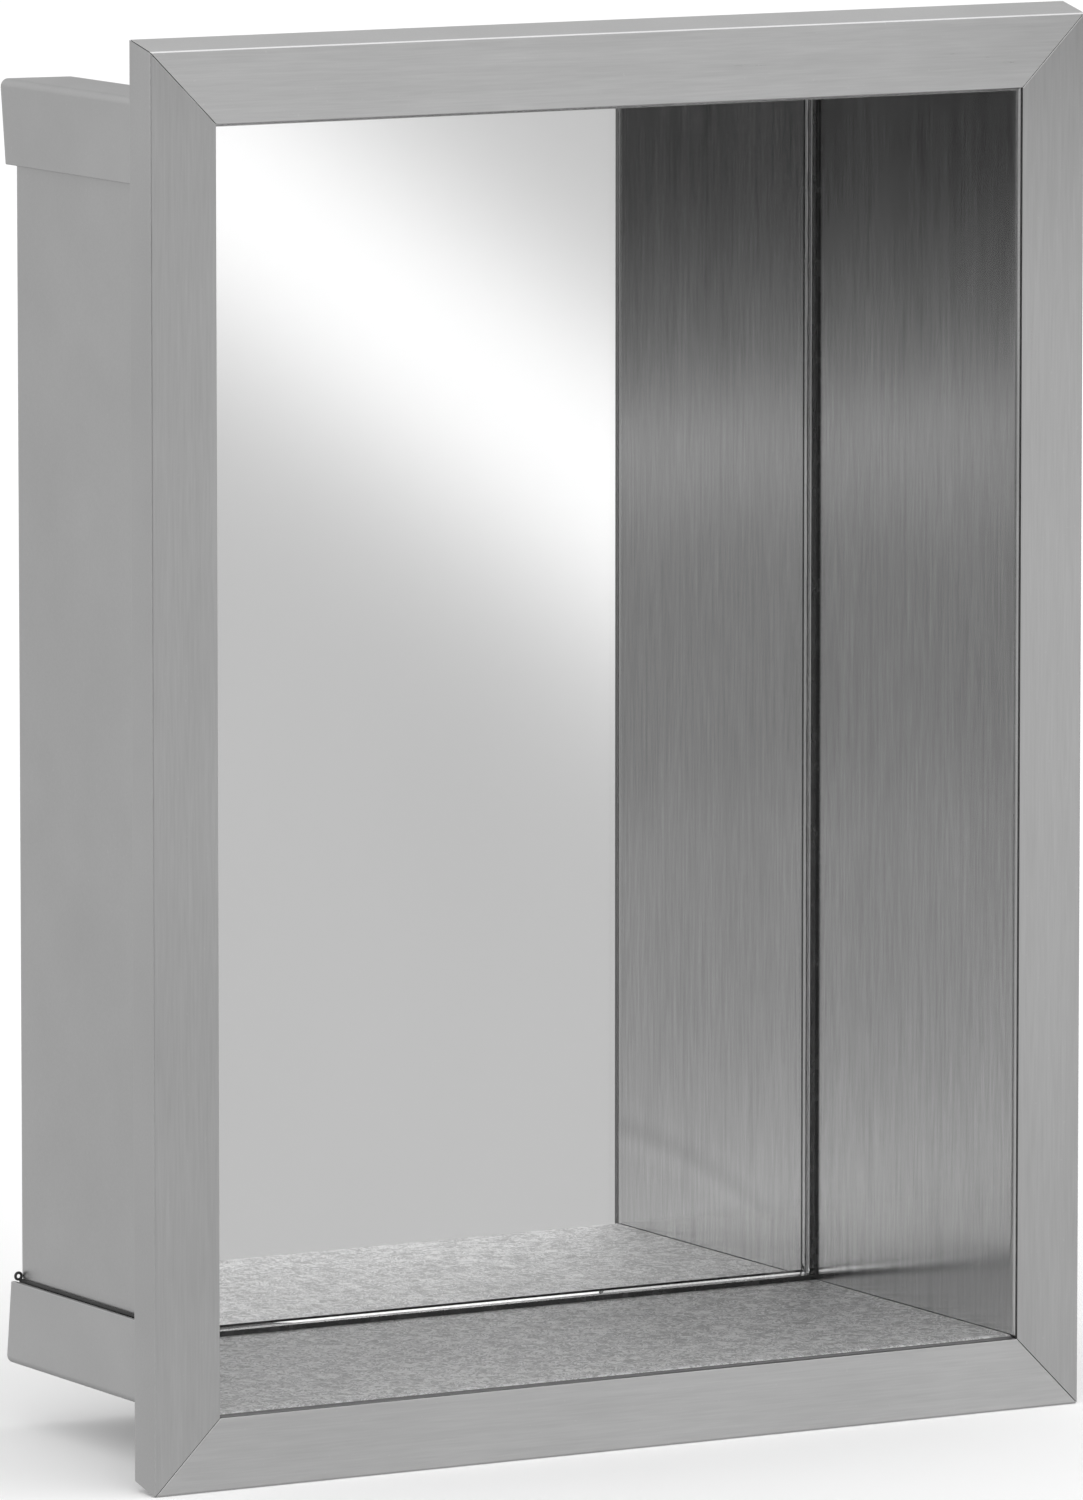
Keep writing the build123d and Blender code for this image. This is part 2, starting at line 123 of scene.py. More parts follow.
@dataclass
class NodeDesk:
    """Adds nodes and links to one node tree, with short calls.

    Args:
        tree: The node tree that is being built.
    """

    tree: NodeTree

    def add(self, kind: str, **settings: object) -> Node:
        """Add a node and set its plain properties."""
        node = self.tree.nodes.new(kind)
        for name, value in settings.items():
            setattr(node, name, value)
        return node

    def feed(self, value: object, socket: Socket) -> None:
        """Link an output into a socket, or set the socket's own value."""
        if isinstance(value, Socket):
            self.tree.links.new(value, socket)
        else:
            socket.default_value = value

    def math(self, operation: str, *values: object) -> Socket:
        """Do one sum on numbers or outputs and return its output."""
        node = self.add("ShaderNodeMath", operation=operation)
        for index, value in enumerate(values):
            self.feed(value, node.inputs[index])
        return node.outputs[0]

    def product(self, *values: object) -> Socket:
        """Multiply values together, from first to last."""
        return reduce(lambda so_far, value: self.math("MULTIPLY", so_far, value), values)

    def vector(self, operation: str, *values: object) -> Node:
        """Do one vector sum and return its node."""
        node = self.add("ShaderNodeVectorMath", operation=operation)
        for index, value in enumerate(values):
            self.feed(value, node.inputs[index])
        return node

    def scaled(self, vector: object, scale: Sequence[float]) -> Socket:
        """Multiply a vector by a scale for each axis."""
        return self.vector("MULTIPLY", vector, tuple(scale)).outputs[0]

    def times(self, vector: object, factor: object) -> Socket:
        """Multiply a vector by one number or output."""
        node = self.vector("SCALE", vector)
        self.feed(factor, node.inputs["Scale"])
        return node.outputs[0]

    def rotated(self, vector: object, angles: Sequence[float]) -> Socket:
        """Turn a vector by an angle about each axis, in radians."""
        node = self.add("ShaderNodeMapping")
        node.inputs["Rotation"].default_value = angles
        self.feed(vector, node.inputs["Vector"])
        return node.outputs[0]

    def noise(self, vector: object, scale: float, detail: float = 2.0, distortion: float = 0.0) -> Socket:
        """A noise texture's value on a vector."""
        node = self.add("ShaderNodeTexNoise")
        self.feed(vector, node.inputs["Vector"])
        for name, value in (("Scale", scale), ("Detail", detail), ("Distortion", distortion)):
            node.inputs[name].default_value = value
        return node.outputs["Fac"]

    def remap(self, value: object, low: object, high: object, to_low: object, to_high: object,
              smooth: bool = False) -> Socket:
        """Map a range onto another, held at both ends."""
        node = self.add("ShaderNodeMapRange", clamp=True)
        node.interpolation_type = "SMOOTHSTEP" if smooth else "LINEAR"
        names = ("Value", "From Min", "From Max", "To Min", "To Max")
        for name, number in zip(names, (value, low, high, to_low, to_high)):
            self.feed(number, node.inputs[name])
        return node.outputs["Result"]

    def spread(self, noise: object, low: float, high: float) -> Socket:
        """Stretch the range that noise mostly falls in onto another."""
        return self.remap(noise, *NOISE_SPREAD, low, high)

    def mixed(self, first: object, second: object, share: float) -> Socket:
        """Add a share of one value to the rest of another."""
        return self.math("ADD", self.product(first, share), self.product(second, 1.0 - share))

    def surface(self, shader: Node, output: str = "ShaderNodeOutputMaterial") -> None:
        """End the tree with a shader."""
        self.tree.links.new(shader.outputs[0], self.add(output).inputs["Surface"])


class ShaderGroups:
    """The shader node groups that several finishes share, each built once."""

    def __init__(self) -> None:
        """Start with no groups built."""
        self._built: dict[str, NodeTree] = {}

    def get(self, name: str, build: Callable[[NodeDesk, Node, Node], None],
            inputs: dict[str, tuple[str, object]], outputs: dict[str, str]) -> NodeTree:
        """Return a group, building it the first time.

        Args:
            name: The group's name.
            build: Fills the group in, given its desk, input node and output node.
            inputs: Socket kind and default value, by socket name.
            outputs: Socket kind, by socket name.

        Returns:
            The group's node tree.
        """
        if name in self._built:
            return self._built[name]
        tree = bpy.data.node_groups.new(name, "ShaderNodeTree")
        for socket, (kind, default) in inputs.items():
            made = tree.interface.new_socket(name=socket, in_out="INPUT", socket_type=kind)
            if default is not None:
                made.default_value = default
        for socket, kind in outputs.items():
            tree.interface.new_socket(name=socket, in_out="OUTPUT", socket_type=kind)
        desk = NodeDesk(tree)
        build(desk, desk.add("NodeGroupInput"), desk.add("NodeGroupOutput"))
        self._built[name] = tree
        return tree

    def brushed(self) -> NodeTree:
        """Long fine brushing lines along X of the given vector."""
        return self.get(
            "brushed_lines", self._fill_brushed,
            {"Vector": ("NodeSocketVector", None), "Fineness": ("NodeSocketFloat", 1.0)},
            {"Lines": "NodeSocketFloat", "Streaks": "NodeSocketFloat"})

    @staticmethod
    def _fill_brushed(desk: NodeDesk, given: Node, result: Node) -> None:
        """Lay noise stretched along X: hair lines, and broader streaks."""
        finer = desk.times(given.outputs["Vector"], given.outputs["Fineness"])
        hair, broad, streaks = (
            desk.noise(desk.scaled(finer, (along, across, across)), 1.0, detail)
            for along, across, detail in (HAIR_LINES, BROAD_LINES, STREAKS))
        desk.feed(desk.mixed(hair, broad, HAIR_SHARE), result.inputs["Lines"])
        desk.feed(streaks, result.inputs["Streaks"])

    def orbital(self) -> NodeTree:
        """Short curved scratches of a random orbital sander."""
        return self.get(
            "orbital_scratches", self._fill_orbital,
            {"Vector": ("NodeSocketVector", None), "Size": ("NodeSocketFloat", 4 * MM)},
            {"Scratches": "NodeSocketFloat", "Patches": "NodeSocketFloat"})

    @staticmethod
    def _fill_orbital(desk: NodeDesk, given: Node, result: Node) -> None:
        """Bend fine stripes by a slow swirl, in layers that cross."""
        place = desk.times(given.outputs["Vector"], desk.math("DIVIDE", 1.0, given.outputs["Size"]))
        layers = []
        for turn in SANDER_TURNS:
            turned = desk.rotated(place, (0.0, 0.0, turn))
            swirl = desk.add("ShaderNodeTexNoise")
            swirl.inputs["Scale"].default_value = SWIRL_SCALE
            swirl.inputs["Detail"].default_value = 1.0
            desk.feed(turned, swirl.inputs["Vector"])
            push = desk.vector("SUBTRACT", swirl.outputs["Color"], (0.5, 0.5, 0.5)).outputs[0]
            bent = desk.vector("MULTIPLY_ADD", push, SWIRL_PUSH, turned).outputs[0]
            layers.append(desk.noise(desk.scaled(bent, SCRATCH_SCALE), 1.0, 2.0))
        total = desk.math("ADD", desk.math("ADD", layers[0], layers[1]), layers[2])
        desk.feed(desk.remap(total, *SCRATCH_SUM_RANGE, 0.0, 1.0), result.inputs["Scratches"])
        desk.feed(desk.noise(place, 0.5, 3.0), result.inputs["Patches"])

    def handling(self) -> NodeTree:
        """Faint clouds and smears that handling leaves on bare steel."""
        return self.get(
            "handling_marks", self._fill_handling,
            {"Vector": ("NodeSocketVector", None)},
            {"Clouds": "NodeSocketFloat", "Specks": "NodeSocketFloat"})

    @staticmethod
    def _fill_handling(desk: NodeDesk, given: Node, result: Node) -> None:
        """Slow clouds, and a sparse scatter of specks."""
        desk.feed(desk.noise(given.outputs["Vector"], 14.0, 3.0, 0.4), result.inputs["Clouds"])
        grit = desk.noise(given.outputs["Vector"], 900.0, 1.0)
        desk.feed(desk.remap(grit, 0.74, 0.8, 0.0, 1.0), result.inputs["Specks"])


GROUPS = ShaderGroups()


# Finishes.


MADE: dict[str, Material] = {}


def empty_material(name: str) -> tuple[Material, NodeDesk]:
    """A new material without nodes, and the desk for them."""
    made = bpy.data.materials.new(name)
    made.use_nodes = True
    made.node_tree.nodes.clear()
    return made, NodeDesk(made.node_tree)


class Finish:
    """A finish that can be turned into a material once and used on several pieces."""

    name: str

    def material(self) -> Material:
        """Return the finish's material, building it the first time."""
        if self.name in MADE:
            return MADE[self.name]
        MADE[self.name], desk = empty_material(self.name)
        shader = desk.add("ShaderNodeBsdfPrincipled")
        desk.surface(shader)
        self.dress(desk, shader)
        return MADE[self.name]

    def dress(self, desk: NodeDesk, shader: Node) -> None:
        """Connect the finish to the shader."""
        raise NotImplementedError

    @staticmethod
    def place(desk: NodeDesk) -> Socket:
        """Object coordinates, in metres."""
        return desk.add("ShaderNodeTexCoord").outputs["Object"]

    @staticmethod
    def bump(desk: NodeDesk, shader: Node, height: object, depth: float) -> None:
        """Raise the surface by a height of 0 to 1, times a depth in metres."""
        node = desk.add("ShaderNodeBump")
        node.inputs["Strength"].default_value = 1.0
        node.inputs["Distance"].default_value = depth
        desk.feed(height, node.inputs["Height"])
        desk.feed(node.outputs["Normal"], shader.inputs["Normal"])


@dataclass(frozen=True)
class Steel(Finish):
    """Bare stainless steel with one of the workshop finishes.

    Args:
        name, grain: The material's name, and how the sheet was finished.
        tone: Reflected share of light, from 0 to 1.
        roughness, roughness_swing: Mean roughness, and how far the lines move it.
        line_contrast, line_depth: How far the lines move the tone, and their depth in metres.
        stretch: Anisotropy of the shine, for finishes with a direction.
        edge_shine: How light the steel turns at a glancing angle, from 0 to 1.
    """

    name: str
    grain: Grain
    tone: float = 0.62
    roughness: float = 0.3
    roughness_swing: float = 0.08
    line_contrast: float = 0.07
    line_depth: float = 0.004 * MM
    stretch: float = 0.0
    edge_shine: float = 1.0

    def dress(self, desk: NodeDesk, shader: Node) -> None:
        """Lay the lines, then the handling marks, over the bare tone."""
        place = self.place(desk)
        lines, broad = self._lines(desk, place)
        marks = desk.add("ShaderNodeGroup", node_tree=GROUPS.handling())
        desk.feed(place, marks.inputs["Vector"])
        shade = desk.product(
            desk.spread(lines, 1.0 - self.line_contrast, 1.0 + self.line_contrast),
            desk.spread(marks.outputs["Clouds"], *CLOUD_SHADE),
            desk.remap(marks.outputs["Specks"], 0.0, 1.0, 1.0, SPECK_SHADE),
            desk.spread(broad, *BROAD_SHADE))
        desk.feed(desk.times((self.tone,) * 3, shade), shader.inputs["Base Color"])
        rough = desk.spread(desk.mixed(lines, broad, LINE_SHARE),
                            self.roughness - self.roughness_swing, self.roughness + self.roughness_swing)
        desk.feed(rough, shader.inputs["Roughness"])
        shader.inputs["Metallic"].default_value = 1.0
        shader.inputs["Specular Tint"].default_value = (self.edge_shine,) * 3 + (1.0,)
        shader.inputs["Anisotropic"].default_value = self.stretch
        if self.stretch > 0.0:
            tangent = desk.add("ShaderNodeTangent", direction_type="UV_MAP", uv_map=GRAIN_MAP)
            desk.feed(tangent.outputs[0], shader.inputs["Tangent"])
        self.bump(desk, shader, lines, self.line_depth)

    def _lines(self, desk: NodeDesk, place: Socket) -> tuple[Socket, Socket]:
        """Choose the pattern of the finish.

        Args:
            desk: The material's nodes.
            place: Object coordinates.

        Returns:
            The fine lines and the broad variation, each from 0 to 1.
        """
        if self.grain is Grain.ORBITAL:
            group = desk.add("ShaderNodeGroup", node_tree=GROUPS.orbital())
            desk.feed(place, group.inputs["Vector"])
            return group.outputs["Scratches"], group.outputs["Patches"]
        if self.grain is Grain.PLAIN:
            return desk.noise(place, 1500.0, 2.0), desk.noise(place, 45.0, 3.0)
        group = desk.add("ShaderNodeGroup", node_tree=GROUPS.brushed())
        if self.grain is Grain.UPRIGHT:
            place = desk.rotated(place, (0.0, math.radians(90.0), 0.0))
        desk.feed(place, group.inputs["Vector"])
        return group.outputs["Lines"], group.outputs["Streaks"]


@dataclass(frozen=True)
class Pattern:
    """Noise or cells, and the part of its values that is used.

    Args:
        scale: Fineness of the pattern.
        detail: Finer layers in the noise.
        used: The values that count as none of it and as all of it.
        cells: Whether it is made of cells instead of noise.
    """

    scale: float
    detail: float = 2.0
    used: tuple[float, float] = NOISE_SPREAD
    cells: bool = False

    def value(self, desk: NodeDesk, place: object) -> Socket:
        """The pattern itself."""
        if not self.cells:
            return desk.noise(place, self.scale, self.detail)
        node = desk.add("ShaderNodeTexVoronoi", feature="F1")
        node.inputs["Scale"].default_value = self.scale
        desk.feed(place, node.inputs["Vector"])
        return node.outputs["Distance"]

    def between(self, desk: NodeDesk, place: object, ends: tuple[float, float]) -> Socket:
        """The pattern stretched between two values."""
        return desk.remap(self.value(desk, place), *self.used, *ends)


@dataclass(frozen=True)
class Coating(Finish):
    """A material whose tone, roughness and relief each follow a pattern.

    Args:
        name: The material's name.
        tones, toning: Darkest and palest grey, and the pattern between them.
        roughness, roughening: Least and greatest roughness, and the pattern between them.
        relief, depth: Pattern of the surface, and its depth in metres.
        sockets: Other values of the shader.
    """

    name: str
    tones: tuple[float, float]
    toning: Pattern
    roughness: tuple[float, float] = (0.0, 0.0)
    roughening: Pattern | None = None
    relief: Pattern | None = None
    depth: float = 0.0
    sockets: tuple[tuple[str, float], ...] = ()

    def dress(self, desk: NodeDesk, shader: Node) -> None:
        """Set tone, roughness and relief from their patterns, then the other sockets."""
        place = self.place(desk)
        tone = self.toning.between(desk, place, self.tones)
        desk.feed(desk.times(WHITE, tone), shader.inputs["Base Color"])
        if self.roughening is not None:
            desk.feed(self.roughening.between(desk, place, self.roughness), shader.inputs["Roughness"])
        if self.relief is not None:
            self.bump(desk, shader, self.relief.value(desk, place), self.depth)
        for socket, value in self.sockets:
            shader.inputs[socket].default_value = value


@dataclass(frozen=True)
class PanelGlow(Finish):
    """The soft light panel: a bright slanting band on one side, a graded wash on the other.

    Args:
        name: The material's name.
        band_x, band_z: Place of the band's middle, in metres.
        band_slope: Rise of the band for each metre across.
        band_width: Half width of the band, in height.
        base, peak: Brightness off the band, and what the band adds.
        change: Places across the panel between which the wash gives way to the band.
        shade: Heights between which the bright side falls off.
        shade_level: Share of its light that is left above them.
        wash: Height and brightness pairs of the graded side, from low to high.
    """

    name: str
    band_x: float = 0.59
    band_z: float = 0.187
    band_slope: float = -0.706
    band_width: float = 0.075
    base: float = 0.575
    peak: float = 0.55
    change: tuple[float, float] = (-0.2, 0.14)
    shade: tuple[float, float] = (0.28, 0.4)
    shade_level: float = 0.25
    wash: tuple[tuple[float, float], ...] = (
        (-0.2, 0.75), (-0.08, 0.44), (0.0, 0.42), (0.01, 0.32), (0.1, 0.33), (0.145, 0.58),
        (0.17, 0.2), (0.24, 0.03), (0.3, 0.03), (0.5, 1.3))

    def material(self) -> Material:
        """An emitting surface graded over its own coordinates."""
        made, desk = empty_material(self.name)
        made.cycles.emission_sampling = "NONE"
        split = desk.add("ShaderNodeSeparateXYZ")
        desk.feed(self.place(desk), split.inputs[0])
        across, height = split.outputs["X"], split.outputs["Z"]
        middle = desk.math("MULTIPLY_ADD", desk.math("SUBTRACT", across, self.band_x),
                           self.band_slope, self.band_z)
        away = desk.math("DIVIDE", desk.math("SUBTRACT", height, middle), self.band_width)
        hump = desk.math("EXPONENT", desk.product(away, away, -1.0))
        bright_side = desk.product(desk.math("MULTIPLY_ADD", hump, self.peak, self.base),
                                desk.remap(height, *self.shade, 1.0, self.shade_level))
        side = desk.remap(across, *self.change, 0.0, 1.0, smooth=True)
        level = desk.math("ADD", desk.product(bright_side, side),
                          desk.product(self._wash(desk, height), desk.math("SUBTRACT", 1.0, side)))
        glow = desk.add("ShaderNodeEmission")
        desk.feed(level, glow.inputs["Strength"])
        desk.surface(glow)
        return made

    def _wash(self, desk: NodeDesk, height: Socket) -> Socket:
        """Add up the straight ramps of the graded side."""
        level: object = self.wash[0][1]
        for (low, before), (high, after) in zip(self.wash, self.wash[1:]):
            level = desk.math("ADD", level, desk.remap(height, low, high, 0.0, after - before))
        return level


FRAME_ACROSS = Steel("frame_face_across", Grain.ACROSS, 0.65, 0.3, 0.03, 0.06, stretch=0.6)
# Dark steel that is painted shade: it darkens the rails' inner edges round the opening and the floor joint
# behind the frame, where shade falls.
PAINTED_SHADE_STEEL = Steel("painted_shade_edge_steel", Grain.PLAIN, 0.16, 0.5, 0.05, 0.1)
TURNED_EDGE = Steel("turned_edge_steel", Grain.PLAIN, 0.57, 0.36, 0.04, 0.03)
FRAME_UPRIGHT = Steel("frame_face_upright", Grain.UPRIGHT, 0.57, 0.3, 0.03, 0.06, stretch=0.6)
WALL_BRUSHED = Steel("wall_steel_brushed", Grain.UPRIGHT, 0.62, 0.2, 0.02, 0.14, 0.002 * MM, 0.95)
FLOOR_SANDED = Steel("floor_steel_sanded", Grain.ORBITAL, 0.8, 0.56, 0.05, 0.26, 0.006 * MM, edge_shine=0.4)
ANGLE_MATT = Steel("angle_steel_matt", Grain.PLAIN, 0.66, 0.42, 0.04, 0.02, 0.002 * MM, edge_shine=0.5)
MILL_SHEET = Steel("mill_sheet", Grain.PLAIN, 0.58, 0.4, 0.05, 0.03, 0.003 * MM)
FIXINGS = Steel("turned_fixings", Grain.PLAIN, 0.7, 0.25, 0.05, 0.03, 0.003 * MM)
DUST = Pattern(160.0, 3.0, (0.4, 0.75))
SKIN = Pattern(2600.0)
CELLS = Pattern(1700.0, used=(0.1, 0.7), cells=True)
WHEEL_MARKS = Pattern(1400.0)
RUBBER_SHINE = (("Specular IOR Level", 0.45),)
CLEAR = (("Roughness", 0.0), ("Transmission Weight", 1.0), ("IOR", 1.52))
BLACK_RUBBER = Coating("moulded_rubber", (0.012, 0.0315), DUST, (0.38, 0.63), DUST, SKIN, 0.01 * MM,
                       RUBBER_SHINE)
GLAZING_RUBBER = Coating("glossy_glazing_rubber", (0.01, 0.03), DUST, (0.14, 0.39), DUST, SKIN, 0.01 * MM,
                         RUBBER_SHINE)
GREY_FOAM = Coating("cell_foam", (0.06, 0.12), CELLS, (0.85, 0.97), Pattern(300.0), CELLS, 0.08 * MM)
SILVER = Coating("silver_coat", (0.918, 0.936), Pattern(9.0), (0.0, 0.004), Pattern(260.0, 3.0, (0.5, 0.8)),
                 sockets=(("Metallic", 1.0),))
GLASS = Coating("float_glass", (0.985, 0.995), Pattern(6.0), sockets=CLEAR)
GLASS_EDGE = Coating("ground_glass_edge", (0.782, 0.92), Pattern(1400.0, used=(0.35, 0.65)), (0.1, 0.22),
                     WHEEL_MARKS, WHEEL_MARKS, 0.003 * MM)
FLOOR_PAINT = Coating("pale_floor", (0.93, 0.95), Pattern(3.0), sockets=(("Roughness", 0.9),))
PANEL_GLOW = PanelGlow("panel_glow")


# Mesh helpers.


def own(piece: Piece, replaced: str) -> None:
    """Make a new piece part of the object."""
    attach(piece, BODY)
    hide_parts(replaced)
    log.info("%s: %d faces", piece.name, len(piece.data.polygons))


def add_object(name: str, mesh: Mesh) -> Piece:
    """Put a mesh in the scene under a name, at the origin."""
    piece = bpy.data.objects.new(name, mesh)
    bpy.context.scene.collection.objects.link(piece)
    return piece


def paint(piece: Piece, *finishes: Finish) -> None:
    """Give a piece its finishes, in the order that its faces number them."""
    for finish in finishes:
        piece.data.materials.append(finish.material())


def merged_copy(node: str) -> WorkMesh:
    """A copy of a CAD node's mesh with its loose triangles joined and its flat faces made whole."""
    work = bmesh.new()
    work.from_mesh(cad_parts[node].data)
    bmesh.ops.remove_doubles(work, verts=work.verts, dist=0.002 * MM)
    bmesh.ops.dissolve_limit(work, angle_limit=math.radians(0.4), verts=work.verts, edges=work.edges)
    return work


def ease_edges(work: WorkMesh, width: float, sharper_than: float = 40.0) -> None:
    """Break every sharp edge with a small round."""
    limit = math.radians(sharper_than)
    sharp = [edge for edge in work.edges if len(edge.link_faces) == 2 and edge.calc_face_angle(0.0) > limit]
    bmesh.ops.bevel(work, geom=sharp, offset=width, segments=2, profile=0.5, affect="EDGES",
                    clamp_overlap=True)


def map_grain(mesh: Mesh, along: Axis) -> None:
    """Give a mesh a UV map whose V runs along the grain and U across it."""
    layer = mesh.uv_layers.new(name=GRAIN_MAP)
    others = [axis.value for axis in Axis if axis is not along]
    for face in mesh.polygons:
        across = min(others, key=lambda index: abs(face.normal[index]))
        for corner in face.loop_indices:
            point = mesh.vertices[mesh.loops[corner].vertex_index].co
            layer.data[corner].uv = (point[across], point[along.value])


def finish_mesh(work: WorkMesh, name: str, along: Axis, soft_below: float = 32.0) -> Mesh:
    """Turn a working mesh into a mapped mesh, shaded smooth but for its sharp edges."""
    mesh = bpy.data.meshes.new(name)
    work.to_mesh(mesh)
    work.free()
    mesh.shade_smooth()
    mesh.set_sharp_from_angle(angle=math.radians(soft_below))
    map_grain(mesh, along)
    return with_flat_faces_true(mesh)


def with_flat_faces_true(mesh: Mesh) -> Mesh:
    """Weigh the normals by face area, so that a broad flat face stays flat right up to its eased edge."""
    bench = add_object("normal_bench", mesh)
    modifier = bench.modifiers.new("area_weight", "WEIGHTED_NORMAL")
    modifier.mode = "FACE_AREA"
    modifier.weight = 100
    modifier.keep_sharp = True
    weighed = bpy.data.meshes.new_from_object(bench.evaluated_get(bpy.context.evaluated_depsgraph_get()))
    bpy.data.objects.remove(bench)
    bpy.data.meshes.remove(mesh)
    return weighed


@dataclass
class FoldedPiece:
    """A folded sheet of steel that keeps its CAD shape and gets eased edges and a finish.

    Args:
        node, slot: The CAD node, and the name of a material slot, which is not used.
        finish, along: The finish of the sheet and the direction of its grain.
        ease: Width of the round on its cut edges.
        end_gap: How far each end stands back from the piece it meets.
    """

    node: str
    slot: str
    finish: Steel
    along: Axis = Axis.Z
    ease: float = 0.12 * MM
    end_gap: float = 0.0

    def shape(self, work: WorkMesh) -> None:
        """Draw both ends in towards the middle, along the grain."""
        index = self.along.value
        low, high = (corner[index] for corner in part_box(self.node))
        middle, half = (low + high) / 2, (high - low) / 2
        for vertex in work.verts:
            vertex.co[index] -= self.end_gap * (vertex.co[index] - middle) / half

    def dress(self, piece: Piece) -> None:
        """Give the piece its material."""
        paint(piece, self.finish)

    def build(self) -> None:
        """Make the piece and put it in the place of its node."""
        work = merged_copy(self.node)
        ease_edges(work, self.ease)
        self.shape(work)
        piece = add_object(f"{self.node}_sheet", finish_mesh(work, self.node, self.along))
        self.dress(piece)
        own(piece, self.node)


@dataclass
class WallPanel(FoldedPiece):
    """A side wall, brushed inside and left plain outside, that may have a shallow pucker above the floor.

    Args:
        inside: Which way the brushed face looks along X, +1 or -1.
        pucker: Depth of the pucker, in metres; below 0 it stands into the niche.
        pucker_height, rear_height: Height of its crest at the front and at the back.
        pucker_width: Half width of the crest.
        sweep: How suddenly the crest drops towards the back, as a power.
        foot: Height over which the pucker grows out of the floor joint.
        hollow, hollow_place: The hollow over the crest, as a share of it and in half widths.
        rows, row_step, columns: The grid that is cut for it.
    """

    inside: int = -1
    pucker: float = 0.0
    pucker_height: float = 28.0 * MM
    pucker_width: float = 3.6 * MM
    rear_height: float = 3.0 * MM
    sweep: float = 2.2
    foot: float = 2.0 * MM
    hollow: float = 0.4
    hollow_place: float = 1.6
    rows: int = 44
    row_step: float = 1.3 * MM
    columns: int = 36

    def shape(self, work: WorkMesh) -> None:
        """Cut a fine grid above the floor and press the pucker into it."""
        if self.pucker == 0.0:
            return
        low, high = (Vector(corner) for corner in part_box(self.node))
        for row in range(self.rows + 1):
            self._cut(work, (0, 0, low.z + row * self.row_step), (0, 0, 1))
        depth = high.y - low.y
        for column in range(1, self.columns):
            self._cut(work, (0, low.y + depth * column / self.columns, 0), (0, 1, 0))
        for vertex in work.verts:
            vertex.co.x += self.pucker * self._share((vertex.co.y - low.y) / depth, vertex.co.z - low.z)

    @staticmethod
    def _cut(work: WorkMesh, place: Sequence[float], normal: Sequence[float]) -> None:
        """Cut every face that crosses a plane."""
        everything = work.verts[:] + work.edges[:] + work.faces[:]
        bmesh.ops.bisect_plane(work, geom=everything, plane_co=place, plane_no=normal, dist=0.001 * MM)

    def _share(self, inward: float, height: float) -> float:
        """Share of the pucker at a place on the wall."""
        crest = self.pucker_height - (self.pucker_height - self.rear_height) * inward ** self.sweep
        offset = (height - crest) / self.pucker_width
        fade = min(1.0, max(0.0, height / self.foot)) * min(1.0, 4.0 * (1.0 - inward) + 0.25)
        hollow = self.hollow * math.exp(-(offset - self.hollow_place) ** 2)
        return fade * (math.exp(-offset * offset) - hollow)

    def dress(self, piece: Piece) -> None:
        """Brushed steel on the faces that look inwards, plain sheet on the others."""
        paint(piece, self.finish, MILL_SHEET)
        for face in piece.data.polygons:
            face.material_index = 0 if face.normal.x * self.inside > 0.05 or face.normal.y < -0.5 else 1


@dataclass
class FloorPanel(FoldedPiece):
    """The floor, sanded inside, whose front bend drops into the joint behind the frame, darkened there with
    painted shade.

    Args:
        joint_drop: How far below the floor's face the painted shade of the joint begins.
        joint_depth: How far back from the front that painted shade reaches.
    """

    joint_drop: float = 0.35 * MM
    joint_depth: float = 2.5 * MM

    def dress(self, piece: Piece) -> None:
        """Sanded on the floor itself, painted shade in the joint, plain sheet elsewhere."""
        paint(piece, self.finish, PAINTED_SHADE_STEEL, MILL_SHEET)
        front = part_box(self.node)[0][Axis.Y.value]
        level = [face for face in piece.data.polygons if face.normal.z > 0.99]
        face_height = max(level, key=lambda face: face.area).center.z
        for face in piece.data.polygons:
            # Faces that drop into the joint get the dark steel, a painted shade.
            dropped = face.center.z < face_height - self.joint_drop
            if dropped and face.center.y < front + self.joint_depth and face.normal.z > -0.2:
                face.material_index = 1
            elif face.normal.z > 0.3 or face.normal.y < -0.3:
                face.material_index = 0
            else:
                face.material_index = 2


# Sub-assemblies.


@dataclass
class FrameRail(FoldedPiece):
    """A rail with a brushed face, plainer turned edges and a cut edge round the opening that is darkened
    with painted shade.

    Args:
        end_gap: How far each mitre stands back.
        edge_depth: Depth of the cut edge that gets the painted shade.
    """

    end_gap: float = 0.12 * MM
    edge_depth: float = 1.4 * MM

    def dress(self, piece: Piece) -> None:
        """Brushed steel in front, painted shade on the cut edge, turned edge steel elsewhere."""
        paint(piece, self.finish, TURNED_EDGE, PAINTED_SHADE_STEEL)
        low, high = (Vector(corner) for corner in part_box(self.node))
        across = Axis.Z.value if self.along is Axis.X else Axis.X.value
        centre = sum(corner[across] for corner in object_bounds()) / 2
        inward = 1.0 if (low[across] + high[across]) / 2 < centre else -1.0
        for face in piece.data.polygons:
            shallow = face.center.y < low.y + self.edge_depth
            if face.normal.y < -0.9:
                face.material_index = 0
            # The inner cut edge round the opening gets the dark steel, a painted shade.
            elif shallow and face.normal[across] * inward > 0.7:
                face.material_index = 2
            else:
                face.material_index = 1


@dataclass
class FaceFrame:
    """The mitred frame round the opening and the keys behind its corners."""

    ease: float = 0.14 * MM

    def build(self) -> None:
        """Make the four rails and dress the keys."""
        for level in ("top", "bottom"):
            FrameRail(f"frame_{level}_rail", "frame_steel_across", FRAME_ACROSS, Axis.X, self.ease).build()
        for side in SIDES:
            FrameRail(f"frame_{side}_rail", "frame_steel_upright", FRAME_UPRIGHT, Axis.Z, self.ease).build()
        for corner in CORNERS:
            dress_node(f"corner_key_{corner}", MILL_SHEET)


